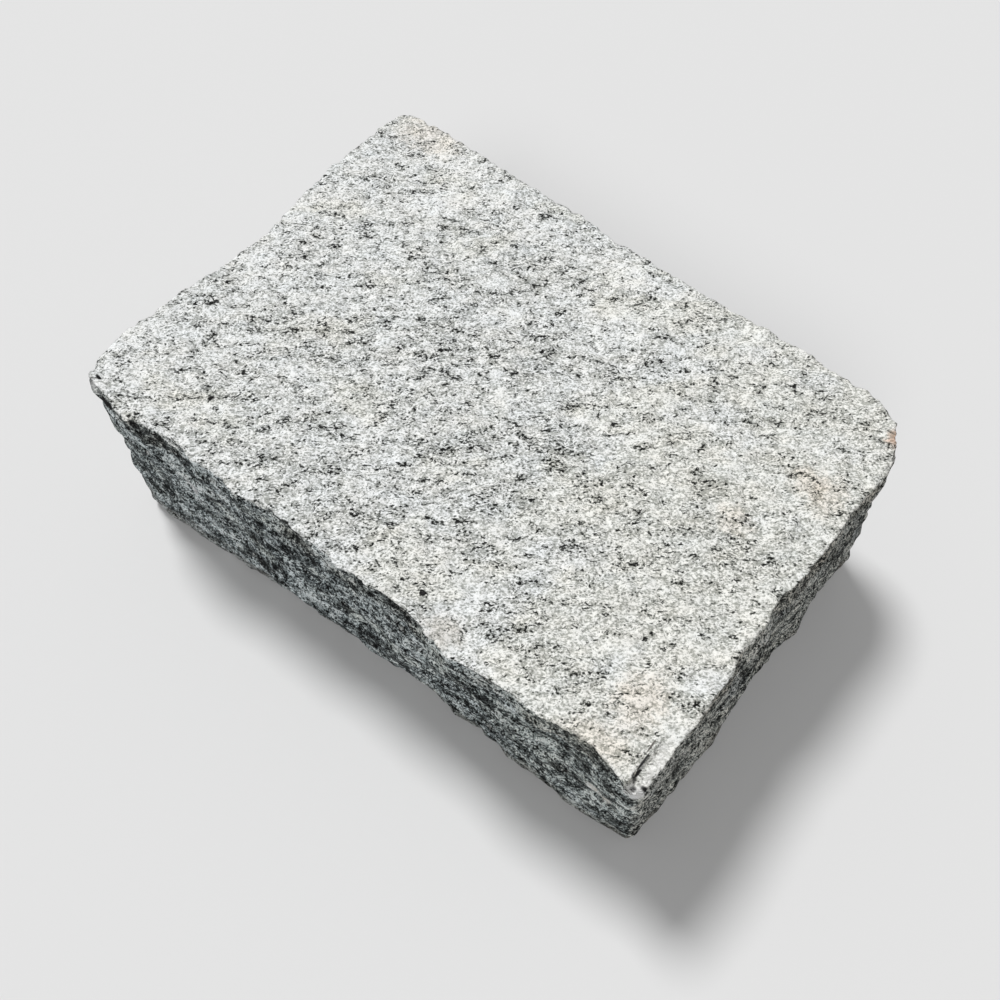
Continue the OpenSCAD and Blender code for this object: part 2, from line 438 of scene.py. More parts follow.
class Shader:
    """The nodes of one material or of the world."""

    def __init__(self, owner: bpy.types.Material | bpy.types.World) -> None:
        """Empties the nodes of a material, or of the world, to start them afresh.

        Args:
            owner: the material or the world that the nodes are for.
        """
        self.owner = owner
        owner.use_nodes = True
        self.tree = owner.node_tree
        self.tree.nodes.clear()

    def node(self, kind: str, settings: dict[str, Any], inputs: dict[str | int, Any]) -> bpy.types.Node:
        """Adds a node.

        Args:
            kind: the node's type, without the word ShaderNode.
            settings: the node's own settings, which are set first.
            inputs: the values or wires of its sockets, by name or number.

        Returns:
            The new node.
        """
        made = self.tree.nodes.new("ShaderNode" + kind)
        for key, value in settings.items():
            if key == "stops":
                self.set_stops(made.color_ramp, value)
            else:
                setattr(made, key, value)
        for key, value in inputs.items():
            if isinstance(value, Wire):
                self.tree.links.new(value.socket, made.inputs[key])
            else:
                made.inputs[key].default_value = value
        return made

    @staticmethod
    def set_stops(ramp: bpy.types.ColorRamp, stops: tuple[tuple[float, Colour], ...]) -> None:
        """Gives a ramp its stops.

        Args:
            ramp: the ramp of a new node.
            stops: place and colour of each stop, from low to high.
        """
        ramp.elements.remove(ramp.elements[1])
        ramp.elements[0].position = stops[0][0]
        for position, _ in stops[1:]:
            ramp.elements.new(position)
        for element, (_, colour) in zip(ramp.elements, stops):
            element.color = (*colour, 1.0)

    def wire(self, made: bpy.types.Node, output: str | int = 0) -> Wire:
        """Wraps one output of a node."""
        return Wire(self, made.outputs[output])

    def maths(self, operation: str, *operands: Operand) -> Wire:
        """Adds a Math node, or a Vector Math node where an operand is a vector.

        Args:
            operation: the node's operation.
            operands: numbers, vectors or wires.

        Returns:
            The result.
        """
        spread = any(isinstance(o, tuple) or isinstance(o, Wire) and o.socket.type != "VALUE"
                     for o in operands)
        if not spread:
            return self.wire(self.node("Math", {"operation": operation}, dict(enumerate(operands))))
        filled = [(o, o, o) if isinstance(o, (int, float)) else o for o in operands]
        return self.wire(self.node("VectorMath", {"operation": operation}, dict(enumerate(filled))))

    def dot(self, vector: Wire, way: Place) -> Wire:
        """Measures a vector along a way."""
        made = self.node("VectorMath", {"operation": "DOT_PRODUCT"}, {0: vector, 1: way})
        return self.wire(made, "Value")

    def blend(self, amount: Operand, first: Operand, second: Operand, how: str = "MIX") -> Wire:
        """Blends two colours.

        Args:
            amount: 0 for the first colour, 1 for the second.
            first: a colour or wire.
            second: a colour or wire.
            how: name of the way to blend.

        Returns:
            The blended colour.
        """
        colours = [(*c, 1.0) if isinstance(c, tuple) else c for c in (first, second)]
        made = self.node("Mix", {"data_type": "RGBA", "blend_type": how},
                         {0: amount, 6: colours[0], 7: colours[1]})
        return self.wire(made, 2)

    def ramp(self, value: Wire, stops: tuple[tuple[float, Colour], ...]) -> Wire:
        """Turns a value into a colour that passes through the colours of the stops."""
        return self.wire(self.node("ValToRGB", {"stops": stops}, {0: value}))

    def rise(self, value: Wire, low: float, high: float) -> Wire:
        """Rises smoothly from 0 to 1.

        Args:
            value: the value that drives it.
            low: where the rise starts.
            high: where it ends.

        Returns:
            A share from 0 to 1.
        """
        made = self.node("MapRange", {"interpolation_type": "SMOOTHSTEP"},
                         {"Value": value, "From Min": low, "From Max": high})
        return self.wire(made)

    def noise(self, place: Wire, size: float, detail: float = 2.0, rough: float = 0.5,
              output: str = "Fac") -> Wire:
        """Makes soft random variation.

        Args:
            place: coordinates in millimetres.
            size: size of the largest blobs in millimetres.
            detail: how many finer layers are added.
            rough: how strong each finer layer is.
            output: Fac for a value, Color for three values.

        Returns:
            Values around 0.5.
        """
        made = self.node("TexNoise", {"noise_dimensions": "3D"},
                         {"Vector": place, "Scale": 1.0 / size, "Detail": detail,
                          "Roughness": rough})
        return self.wire(made, output)

    def cell_distance(self, place: Wire, size: float) -> Wire:
        """Makes a mosaic of cells.

        Args:
            place: coordinates in millimetres.
            size: size of the cells in millimetres.

        Returns:
            The distance from the middle of the nearest cell, in cells.
        """
        made = self.node("TexVoronoi", {"voronoi_dimensions": "3D", "feature": "F1"},
                         {"Vector": place, "Scale": 1.0 / size})
        return self.wire(made, "Distance")

    def falling(self, place: Wire, middle: Place, reach: Place, edge: Pair, most: float,
                bend: Wire | None = None, bend_by: float = 0.0) -> Wire:
        """Falls smoothly to 0 with the distance from a middle.

        Args:
            place: coordinates in millimetres.
            middle: where it is strongest.
            reach: how far it reaches along X, Y and Z.
            edge: where the fall starts and ends, as shares of the reach.
            most: its value in the middle.
            bend: random ways around 0, to make the edge ragged.
            bend_by: how far they bend it, in millimetres.

        Returns:
            Values from the most down to 0.
        """
        squeeze = tuple(1.0 / length for length in reach)
        start = tuple(-at / length for at, length in zip(middle, reach))
        off = self.maths("MULTIPLY_ADD", place, squeeze, start)
        if bend is not None:
            off = self.maths("MULTIPLY_ADD", bend, tuple(bend_by * share for share in squeeze), off)
        away = self.wire(self.node("VectorMath", {"operation": "LENGTH"}, {0: off}), "Value")
        made = self.node("MapRange", {"interpolation_type": "SMOOTHSTEP"},
                         {"Value": away, "From Min": edge[0], "From Max": edge[1],
                          "To Min": most, "To Max": 0.0})
        return self.wire(made)

    def spot(self) -> Wire:
        """Gives the place on the stone in millimetres."""
        return self.wire(self.node("TexCoord", {}, {}), "Object") * (1.0 / MM)

    def part(self, vector: Wire, name: str) -> Wire:
        """Takes X, Y or Z of a vector."""
        return self.wire(self.node("SeparateXYZ", {}, {0: vector}), name)


@dataclass(frozen=True)
class Patch:
    """A place on the stone where its colour differs, with sizes in millimetres."""

    place: Place
    reach: Place
    colour: Colour
    amount: float
    edge: float = 0.6
    ragged: float = 0.5


STAINS = (
    Patch((-104.4, 86.0, 88.0), (14.0, 9.0, 12.0), (1.0, 0.86, 0.72), 0.33),
    Patch((109.6, -64.0, 88.0), (7.0, 10.0, 8.0), (1.0, 0.84, 0.72), 0.33),
    Patch((107.6, -81.0, 88.0), (9.0, 5.0, 6.0), (1.0, 0.87, 0.75), 0.33),
    Patch((108.6, 34.0, 88.0), (6.0, 6.0, 6.0), (1.0, 0.85, 0.72), 0.33),
    Patch((116.6, 33.0, 88.0), (5.0, 8.0, 6.0), (1.0, 0.86, 0.74), 0.33),
    Patch((97.6, 5.0, 88.0), (6.0, 5.0, 6.0), (1.0, 0.87, 0.76), 0.33),
    Patch((123.1, 68.5, 86.0), (3.2, 4.0, 4.0), (0.88, 0.62, 0.50), 0.9),
    Patch((49.6, -83.0, 88.0), (7.0, 5.0, 5.0), (0.82, 0.78, 0.74), 0.9),
)
# Painted highlights: pale patches screened over sunlit facets of the front and over the white breaks at
# the near corners, which are also partly pale stone.
PAINTED_HIGHLIGHTS = (
    Patch((110.4, -84.3, 55.0), (2.8, 6.0, 2.2), (0.85, 0.82, 0.74), 0.9, 0.5, 0.6),
    Patch((115.2, -84.8, 53.5), (2.2, 6.0, 2.5), (0.85, 0.82, 0.74), 0.9, 0.5, 0.6),
    Patch((-67.4, -90.0, 58.0), (1.5, 6.0, 5.5), (0.80, 0.80, 0.80), 0.8, 0.5, 0.6),
    Patch((123.8, -76.5, 87.0), (2.3, 7.5, 4.0), (0.80, 0.79, 0.76), 0.60, 0.4, 0.6),
    Patch((123.6, -86.6, 82.2), (3.0, 4.0, 3.6), (0.90, 0.89, 0.86), 0.9, 0.4, 0.6),
    Patch((-106.9, -89.5, 86.0), (3.0, 1.6, 3.0), (0.85, 0.84, 0.82), 0.5, 0.5, 0.5),
)
# The first spot is a black fleck of the stone; the others are painted shade in the crack and pits at
# the near right corner, in the crevice under the rim at the near left corner and in pits along the
# front rim.
FLECKS_AND_PAINTED_SHADE = (
    Patch((-70.3, -68.0, 88.0), (1.7, 1.2, 3.0), (0.01, 0.01, 0.01), 1.0, 0.3, 0.75),
    Patch((-107.3, -87.0, 88.0), (1.4, 0.6, 2.0), (0.01, 0.01, 0.01), 1.0, 0.3, 0.4),
    Patch((-105.0, -90.5, 81.0), (3.2, 4.0, 1.6), (0.02, 0.02, 0.02), 0.9, 0.5, 0.4),
    Patch((-101.0, -91.4, 82.4), (3.2, 4.0, 2.2), (0.02, 0.02, 0.02), 1.0, 0.4, 0.4),
    Patch((-97.0, -92.0, 83.6), (3.2, 4.0, 1.9), (0.02, 0.02, 0.02), 1.0, 0.4, 0.4),
    Patch((-82.5, -92.8, 86.0), (2.3, 2.2, 1.6), (0.01, 0.01, 0.01), 1.0, 0.3, 0.4),
    Patch((121.3, -82.9, 86.5), (1.0, 1.3, 3.0), (0.02, 0.02, 0.02), 1.0, 0.3, 0.6),
    Patch((119.7, -73.0, 87.0), (0.26, 2.4, 4.0), (0.12, 0.11, 0.10), 0.9, 0.3, 0.2),
    Patch((120.4, -77.5, 87.0), (0.30, 2.8, 4.0), (0.06, 0.06, 0.06), 1.0, 0.3, 0.2),
    Patch((121.0, -80.9, 86.5), (0.45, 1.6, 4.0), (0.03, 0.03, 0.03), 1.0, 0.3, 0.4),
    Patch((122.3, -84.8, 84.1), (0.9, 0.9, 2.0), (0.03, 0.03, 0.03), 0.9, 0.4, 0.5),
    Patch((125.5, -83.2, 84.4), (1.8, 0.8, 2.0), (0.02, 0.02, 0.02), 1.0, 0.4, 0.5),
    Patch((126.0, -79.3, 85.2), (1.2, 0.9, 2.0), (0.05, 0.05, 0.05), 0.9, 0.4, 0.5),
    Patch((-20.4, -88.6, 85.6), (1.8, 1.8, 1.4), (0.03, 0.03, 0.03), 0.8, 0.5, 0.4),
)


@dataclass(frozen=True)
class Zone:
    """A place where the stone is paler than elsewhere, or darker where pale is below 0."""

    place: Place
    reach: Place
    pale: float


TOP_DEPTH = 12.0
SIDE_DEPTH = 14.0
FRONT = -88.0
RIGHT = 126.0


def over_top(x: float, y: float, wide: float, deep: float, pale: float) -> Zone:
    """Gives a zone of the top, with its middle and its reach along X and Y."""
    return Zone((x, y, TOP), (wide, deep, TOP_DEPTH), pale)


def over_front(x: float, z: float, wide: float, high: float, pale: float) -> Zone:
    """Gives a zone of the front side, with its middle and its reach along X and Z."""
    return Zone((x, FRONT, z), (wide, SIDE_DEPTH, high), pale)


def over_right(y: float, z: float, wide: float, high: float, pale: float) -> Zone:
    """Gives a zone of the right end, with its middle and its reach along Y and Z."""
    return Zone((RIGHT, y, z), (SIDE_DEPTH, wide, high), pale)


ZONES = (
    over_top(-113.4, 24.0, 16.0, 34.0, 0.030), over_top(-103.4, -12.0, 18.0, 11.0, 0.045),
    over_top(-75.4, 60.0, 11.0, 15.0, 0.045), over_top(-91.4, 81.0, 22.0, 9.0, 0.035),
    over_top(-49.4, 71.0, 15.0, 8.0, 0.045), over_top(8.6, 73.0, 14.0, 8.0, 0.050),
    over_top(18.6, 48.0, 9.0, 14.0, 0.040), over_top(29.6, 64.0, 7.0, 8.0, 0.035),
    over_top(66.6, 75.0, 11.0, 7.0, 0.030), over_top(108.6, -51.0, 14.0, 20.0, 0.020),
    over_top(30.6, -69.0, 13.0, 8.0, 0.030), over_top(-111.4, -71.0, 14.0, 16.0, 0.030),
    over_top(-17.4, 47.0, 5.0, 5.0, -0.100), over_top(-59.4, 51.0, 9.0, 5.0, -0.045),
    over_top(35.6, 55.0, 5.0, 7.0, -0.055), over_top(10.6, 25.0, 6.0, 5.0, -0.070),
    over_top(20.6, 31.0, 4.0, 4.0, -0.050), over_top(42.6, -10.0, 14.0, 5.0, -0.028),
    over_top(35.6, -26.0, 4.0, 14.0, -0.040), over_top(35.6, -53.0, 5.0, 10.0, -0.045),
    over_top(82.6, 13.0, 8.0, 6.0, -0.050), over_top(-31.4, 2.0, 5.0, 12.0, -0.018),
    over_top(-32.4, -71.0, 9.0, 5.0, -0.055), over_top(-72.4, -66.0, 6.0, 4.0, -0.050),
    over_top(-31.4, -48.0, 5.0, 5.0, -0.040), over_top(106.7, -70.0, 12.0, 8.0, 0.035),
    over_top(-66.3, -70.3, 2.6, 2.2, 0.060), over_top(12.6, -22.0, 6.0, 4.0, -0.045),
    over_top(5.6, -39.0, 6.0, 4.0, -0.015), over_top(60.6, 1.0, 4.0, 5.0, -0.040),
    over_front(-71.4, 54.0, 6.0, 5.0, 0.080), over_front(-47.4, 56.0, 8.0, 5.0, 0.080),
    over_front(-59.4, 66.0, 15.0, 8.0, 0.040), over_front(-94.4, 35.0, 8.0, 6.0, 0.035),
    over_front(56.6, 77.0, 11.0, 12.0, 0.045), over_front(45.6, 66.0, 8.0, 8.0, 0.035),
    over_front(111.6, 50.0, 7.0, 10.0, 0.090), over_front(104.6, 68.0, 18.0, 15.0, 0.055),
    over_front(118.0, 79.0, 5.0, 5.0, 0.060), over_front(-18.0, 85.0, 16.0, 4.0, -0.060),
    over_front(35.6, 50.0, 4.0, 4.0, 0.060), over_front(52.6, 28.0, 7.0, 7.0, 0.045),
    over_front(-24.4, 50.0, 6.0, 10.0, -0.080), over_front(-11.4, 64.0, 7.0, 6.0, -0.070),
    over_front(-89.4, 64.0, 6.0, 5.0, -0.050), over_front(-81.4, 50.0, 5.0, 6.0, -0.045),
    over_front(-74.4, 80.0, 14.0, 5.0, -0.045), over_front(38.6, 78.0, 6.0, 10.0, -0.045),
    over_front(46.6, 42.0, 6.0, 6.0, -0.045), over_front(20.6, 52.0, 5.0, 6.0, -0.040),
    over_right(-69.0, 68.0, 9.0, 12.0, 0.060), over_right(-23.0, 76.0, 6.0, 9.0, 0.060),
    over_right(-35.0, 22.0, 13.0, 16.0, 0.040), over_right(-77.0, 58.0, 5.0, 14.0, -0.045),
    over_right(19.0, 62.0, 8.0, 10.0, -0.030),
)


@dataclass(frozen=True)
class Ground:
    """Where each point of the stone lies, how it faces, and what varies over all sides."""

    spot: Wire     # place in millimetres
    high: Wire     # height in millimetres
    up: Wire       # 1 where it faces up, -1 where it faces down
    # turned marks the right end, which gets a warm painted shade tint
    beside: Wire   # 1 on the sides, 0 on the top
    # behind marks the back and the left end, which take less of the sides' painted shade
    turned: Wire   # 1 on the right end
    behind: Wire   # 1 on the back and the left end
    clear: Wire    # rises from 0 to 1 towards the right
    pale: Wire     # how much paler the stone is there
    cluster: Wire  # coarse variation around 0
    drift: Wire    # coarsest variation around 0


@dataclass(frozen=True)
class TopGrain:
    """How the grain of the top varies, around 0 but for the dots."""

    body: Wire   # main grain
    fine: Wire   # finest grain
    sugar: Wire  # crystals
    clump: Wire  # groups of grains, drawn out
    grain: Wire  # what sharpens the flecks
    dots: Wire   # black specks, around 0.5


@dataclass(frozen=True)
class SideGrain:
    """How the grain of the split sides varies, from the coarsest kind to the finest."""

    layer: Wire  # beds of the stone, around 0
    dusk: Wire   # 1 in the dark beds
    patch: Wire  # patches of grains, around 0
    knap: Wire   # knocked surface, around 0.5
    crumb: Wire  # crumbs, around 0
    fleck: Wire  # black flecks, around 0
    # painted white glints of crystals
    painted_glint: Wire  # 1 on a white glint
    chip: Wire   # small chips, around 0
    sand: Wire   # finest grain, around 0


@dataclass(frozen=True)
class Granite:
    """Pale grey granite with black mica flecks that lie along one direction."""

    half_long: float
    half_wide: float
    name: str = "granite_pale_grey"
    white: Colour = (0.938, 0.950, 0.943)
    pale: Colour = (0.745, 0.756, 0.749)
    grey: Colour = (0.571, 0.584, 0.565)
    slate: Colour = (0.384, 0.396, 0.376)
    speck: Colour = (0.102, 0.107, 0.100)
    # Side colours: darker and bluer than the top's, partly the split stone's own look and partly
    # painted shade and blue skylight of shaded sides.
    side_white: Colour = (0.94, 1.0, 1.0)
    side_pale: Colour = (0.73, 0.815, 0.815)
    side_grey: Colour = (0.45, 0.512, 0.518)
    side_slate: Colour = (0.20, 0.230, 0.233)
    side_dark: Colour = (0.024, 0.028, 0.029)
    # painted brown light bounced from the floor onto the foot of the sides
    painted_bounce_brown: Colour = (0.33, 0.325, 0.305)
    warm_tint: Colour = (0.97, 0.93, 0.89)
    dusk_tint: Colour = (1.0, 0.975, 0.95)
    # painted warm shade of the right end
    end_shade_tint: Colour = (1.0, 0.94, 0.90)
    # takes the blue of the painted skylight off the back and the left end
    back_tint: Colour = (1.0, 0.965, 0.945)
    yellow_tint: Colour = (1.0, 0.984, 0.940)
    mottle_tint: Colour = (0.07, 0.0, -0.09)
    body_size: float = 1.6
    fine_size: float = 0.7
    sugar_size: float = 1.1
    clump_size: float = 3.3
    grain_size: float = 1.0
    dot_size: float = 0.85
    cluster_size: float = 11.0
    drift_size: float = 26.0
    yellow_size: float = 20.0
    mottle_size: float = 8.0
    layer_size: float = 9.0
    patch_size: float = 5.5
    crumb_size: float = 1.9
    chip_size: float = 0.85
    sand_size: float = 0.45
    # size of the painted white glints
    painted_glint_size: float = 1.3
    knap_size: float = 3.0
    bed_slope: Place = (-0.20, 0.24, 0.0)
    bed_squeeze: Place = (1.0 / 1.7, 1.0 / 1.7, 1.0 / 0.8)
    under_rim: Pair = (20.0, 6.0)
    # heights in millimetres over which the painted floor light along the foot fades out
    painted_bounce_band: Pair = (4.0, 20.0)
    bump: float = 0.4 * MM
    roughness: float = 0.80
    reflection: float = 0.12
    refraction: float = 1.45

    def along_sheets(self, shader: Shader, along: float, across: float, over: float) -> Wire:
        """Gives millimetre coordinates that follow the sheets the grains lie in.

        Args:
            shader: the material's nodes.
            along: how far the grains are stretched along the sheets.
            across: how far they are stretched across, in the sheets.
            over: how thick they are from sheet to sheet.

        Returns:
            The coordinates.
        """
        spot = shader.wire(shader.node("TexCoord", {}, {}), "Object")
        made = shader.node("Mapping", {"vector_type": "TEXTURE"},
                           {"Vector": spot, "Rotation": GRAIN_TURN,
                            "Scale": (along * MM, across * MM, over * MM)})
        return shader.wire(made)

    def warped(self, shader: Shader, place: Wire, size: float, reach: float) -> Wire:
        """Bends coordinates by soft noise of that size, as far as the reach."""
        bend = shader.noise(place, size, 1.0, 0.5, "Color") - (0.5, 0.5, 0.5)
        return place + bend * (4.0 * reach)

    def patched(self, shader: Shader, colour: Wire, spot: Wire) -> Wire:
        """Colours the stone where patches say so: stains, painted highlights, black flecks and painted
        shade.

        Args:
            shader: the material's nodes.
            colour: the stone's colour so far.
            spot: place on the stone in millimetres.

        Returns:
            The colour with the patches in it.
        """
        bend = shader.noise(spot, 3.0, 3.0, 0.6, "Color") - (0.5, 0.5, 0.5)
        for patches, how in ((STAINS, "MULTIPLY"), (PAINTED_HIGHLIGHTS, "SCREEN"), (FLECKS_AND_PAINTED_SHADE, "MIX")):
            for patch in patches:
                edge = (1.0 - patch.edge, 1.0 + patch.edge)
                mask = shader.falling(spot, patch.place, patch.reach, edge, patch.amount,
                                      bend, 4.0 * patch.ragged * min(patch.reach))
                colour = shader.blend(mask, colour, patch.colour, how)
        return colour

    def paleness(self, shader: Shader, spot: Wire) -> Wire:
        """Adds up the zones where the stone is paler or darker.

        Args:
            shader: the material's nodes.
            spot: place on the stone in millimetres.

        Returns:
            How much paler the stone is, less than 0 where it is darker.
        """
        bent = spot + (shader.noise(spot, 9.0, 3.0, 0.6, "Color") - (0.5, 0.5, 0.5)) * 14.0
        total: Operand = 0.0
        for zone in ZONES:
            total = total + shader.falling(bent, zone.place, zone.reach, (0.3, 1.4), zone.pale)
        return total

    def ground(self, shader: Shader) -> Ground:
        """Finds out where each point lies and how it faces.

        Args:
            shader: the material's nodes.

        Returns:
            The place in millimetres and the shares that the colours are worked out from.
        """
        spot = shader.spot()
        wide = self.along_sheets(shader, 1.6, 1.0, 0.7)
        facing = shader.wire(shader.node("NewGeometry", {}, {}), "Normal")
        up = shader.part(facing, "Z")
        hidden = shader.dot(spot, (-1.0 / self.half_long, 1.0 / self.half_wide, 0.0))
        return Ground(
            spot=spot,
            high=shader.part(spot, "Z"),
            up=up,
            beside=1.0 - shader.rise(up, 0.40, 0.66),
            turned=shader.rise(shader.part(facing, "X"), 0.3, 0.8),
            behind=shader.rise(hidden, 0.0, 0.35),
            clear=shader.rise(shader.part(spot, "X"), 0.0, 110.0),
            pale=self.paleness(shader, spot),
            cluster=shader.noise(wide, self.cluster_size, 2.0, 0.5) - 0.5,
            drift=shader.noise(wide, self.drift_size, 2.0, 0.5) - 0.5,
        )

    def top_grain(self, shader: Shader) -> TopGrain:
        """Makes the grain of the top, which is drawn out along the sheets.

        Args:
            shader: the material's nodes.

        Returns:
            Each kind of grain.
        """
        place = self.along_sheets(shader, 1.25, 0.92, 0.7)
        bent = self.warped(shader, self.along_sheets(shader, 1.4, 0.92, 0.66), 4.0, 0.4)
        drawn_out = self.warped(shader, self.along_sheets(shader, 1.75, 0.95, 0.64), 5.0, 0.5)
        return TopGrain(
            body=shader.noise(bent, self.body_size, 5.0, 0.86) - 0.5,
            fine=shader.noise(place, self.fine_size, 1.0, 0.5) - 0.5,
            sugar=shader.cell_distance(bent, self.sugar_size) - 0.4,
            clump=shader.noise(drawn_out, self.clump_size, 2.0, 0.5) - 0.5,
            grain=shader.noise(bent, self.grain_size, 2.0, 0.6) - 0.5,
            dots=shader.noise(place, self.dot_size, 1.0, 0.5),
        )

    def side_grain(self, shader: Shader, spot: Wire) -> SideGrain:
        """Makes the grain of the split sides, where the sheets are seen edge on.

        Args:
            shader: the material's nodes.
            spot: place on the stone in millimetres.

        Returns:
            Each kind of grain.
        """
        lift = shader.dot(spot, self.bed_slope) * (0.0, 0.0, 1.0)
        split = self.warped(shader, self.along_sheets(shader, 1.0, 0.95, 1.1) + lift, 4.0, 0.25)
        bed = self.warped(shader, (spot + lift) * self.bed_squeeze, 8.0, 0.6)
        layer = shader.noise(bed, self.layer_size, 3.0, 0.6) - 0.5
        patch = shader.noise(split, self.patch_size, 2.0, 0.55) - 0.5
        glint = shader.noise(bed, self.painted_glint_size, 2.0, 0.6) - 0.5
        return SideGrain(
            layer=layer,
            dusk=shader.rise(layer, 0.02, 0.16),
            patch=patch,
            crumb=shader.noise(split, self.crumb_size, 3.0, 0.68) - 0.5,
            chip=shader.noise(split, self.chip_size, 1.0, 0.5) - 0.5,
            sand=shader.noise(split, self.sand_size, 1.0, 0.5) - 0.5,
            fleck=(0.55 * (shader.noise(split, 2.4, 2.0, 0.5) - 0.5) + 0.20 * patch
                   + (shader.noise(split, 1.0, 2.0, 0.6) - 0.5)),
            # painted white glints in the beds
            painted_glint=shader.rise(glint - 0.25 * layer, 0.10, 0.17),
            knap=shader.noise(split, self.knap_size, 3.0, 0.55),
        )

    def top_colour(self, shader: Shader, at: Ground, grain: TopGrain) -> Wire:
        """Colours the top, from white feldspar to black specks.

        Args:
            shader: the material's nodes.
            at: where the points lie.
            grain: the grain of the top.

        Returns:
            The colour.
        """
        tone = (0.482 + 0.95 * grain.body + 0.22 * grain.clump + 0.08 * at.cluster
                + 0.60 * grain.fine + 0.10 * grain.sugar + 0.004 * at.clear - at.pale)
        colour = shader.ramp(tone, (
            (0.400, self.white), (0.470, self.pale), (0.530, self.grey), (0.590, self.slate),
        ))
        dots = grain.dots + 0.25 * at.cluster - 0.02 * at.clear
        return shader.blend(0.75 * shader.rise(dots, 0.62, 0.70), colour, self.speck)

    def side_tone(self, shader: Shader, at: Ground, grain: SideGrain) -> Wire:
        """Works out how dark the sides are, around 0.5.

        Args:
            shader: the material's nodes.
            at: where the points lie.
            grain: the grain of the sides.

        Returns:
            The tone, which is more where the stone is darker.
        """
        under = self.under(shader, at)
        speckle = (0.75 * grain.crumb + 0.45 * grain.chip
                   + (0.50 + 0.25 * at.turned) * grain.sand
                   + (0.60 - 0.15 * at.turned) * grain.patch)
        # Painted shade: the tone runs darker on the front and the right end than on the lit top, less
        # so behind, and the band under the rim darkens at places.
        return (0.566 + (1.0 - 0.35 * grain.dusk - 0.30 * at.behind) * speckle
                + (0.48 - 0.15 * at.turned - 0.12 * at.behind) * grain.layer
                + 0.25 * at.drift - 1.2 * at.pale
                + under * (0.004 + 0.16 * at.drift) - 0.020 * at.turned - 0.045 * at.behind)

    def under(self, shader: Shader, at: Ground) -> Wire:
        """Rises from 0 to 1 in the band under the rim, which side_tone darkens at places as painted
        shade.
        """
        low, high = (TOP - below for below in self.under_rim)
        return shader.rise(at.high, low, high)

    def side_colour(self, shader: Shader, at: Ground, grain: SideGrain) -> Wire:
        """Colours the split sides, from painted white glints to black mica, with painted brown floor
        light along the foot.

        Args:
            shader: the material's nodes.
            at: where the points lie.
            grain: the grain of the sides.

        Returns:
            The colour.
        """
        colour = shader.ramp(self.side_tone(shader, at, grain), (
            (0.400, self.side_white), (0.455, self.side_pale), (0.510, self.side_grey),
            (0.570, self.side_slate), (0.700, self.side_dark),
        ))
        mica = shader.rise(grain.chip + 0.22 * grain.patch, 0.085, 0.125)
        colour = shader.blend((0.9 - 0.35 * at.behind) * mica, colour, self.side_dark)
        # painted white glints
        colour = shader.blend(0.75 * grain.painted_glint, colour, self.side_white)
        warm = shader.rise(0.4 * self.under(shader, at) + 1.0 * at.drift, 0.22, 0.40)
        colour = shader.blend(warm, colour, self.warm_tint, "MULTIPLY")
        colour = shader.blend(grain.dusk, colour, self.dusk_tint, "MULTIPLY")
        # painted brown light bounced from the floor, along the foot
        foot = 1.0 - shader.rise(at.high + 30.0 * grain.patch, *self.painted_bounce_band)
        colour = shader.blend(0.55 * foot, colour, self.painted_bounce_brown)
        # painted warm shade on the right end
        colour = shader.blend(at.turned, colour, self.end_shade_tint, "MULTIPLY")
        # less blue painted skylight on the back and the left end
        return shader.blend(at.behind, colour, self.back_tint, "MULTIPLY")

    def flecked(self, shader: Shader, colour: Wire, at: Ground, flecks: Wire) -> Wire:
        """Darkens a colour where black flecks lie.

        Args:
            shader: the material's nodes.
            colour: the stone's colour so far.
            at: where the points lie.
            flecks: how strongly each point is flecked.

        Returns:
            The colour with the flecks in it.
        """
        shade = shader.ramp(0.5 + flecks + 0.20 * at.cluster, (
            (0.560, (1.0, 1.0, 1.0)), (0.600, (0.80, 0.80, 0.795)), (0.635, (0.43, 0.44, 0.43)),
            (0.675, (0.10, 0.105, 0.10)), (0.715, (0.03, 0.03, 0.03)),
        ))
        return shader.blend(1.0, colour, shade, "MULTIPLY")

    def tinted(self, shader: Shader, colour: Wire, at: Ground) -> Wire:
        """Adds the yellow areas, the faint mottling and everything that has a place of its own.

        Args:
            shader: the material's nodes.
            colour: the stone's colour so far.
            at: where the points lie.

        Returns:
            The final colour.
        """
        wide = self.along_sheets(shader, 1.6, 1.0, 0.7)
        warmth = shader.noise(wide, self.yellow_size, 2.0, 0.5) - 0.53 + 0.25 * at.clear
        yellow = shader.rise(warmth, 0.0, 0.16)
        colour = shader.blend(0.8 * yellow, colour, self.yellow_tint, "MULTIPLY")
        mottle = (shader.noise(wide, self.mottle_size, 3.0, 0.6) - 0.5) * self.mottle_tint
        return self.patched(shader, colour * (mottle + (1.0, 1.0, 1.0)), at.spot)

    def bumps(self, shader: Shader, at: Ground, top: TopGrain, side: SideGrain,
              fleck: Wire) -> Wire:
        """Makes the bumps that are too small for the mesh.

        Args:
            shader: the material's nodes.
            at: where the points lie.
            top: the grain of the top.
            side: the grain of the sides.
            fleck: how strongly each point of the top is flecked.

        Returns:
            The bent normal.
        """
        edge = shader.rise(at.up, 0.1, 0.4) * (1.0 - shader.rise(at.up, 0.75, 0.95))
        height = ((at.beside - 1.0) * (1.0 * top.body + 0.8 * top.fine + 0.3 * fleck)
                  + at.beside * (4.0 * side.knap + 1.2 * side.chip - 1.0 * side.crumb)
                  + edge * (3.0 * top.grain + 2.0 * top.fine))
        made = shader.node("Bump", {}, {"Strength": 1.0, "Distance": self.bump, "Height": height})
        return shader.wire(made)

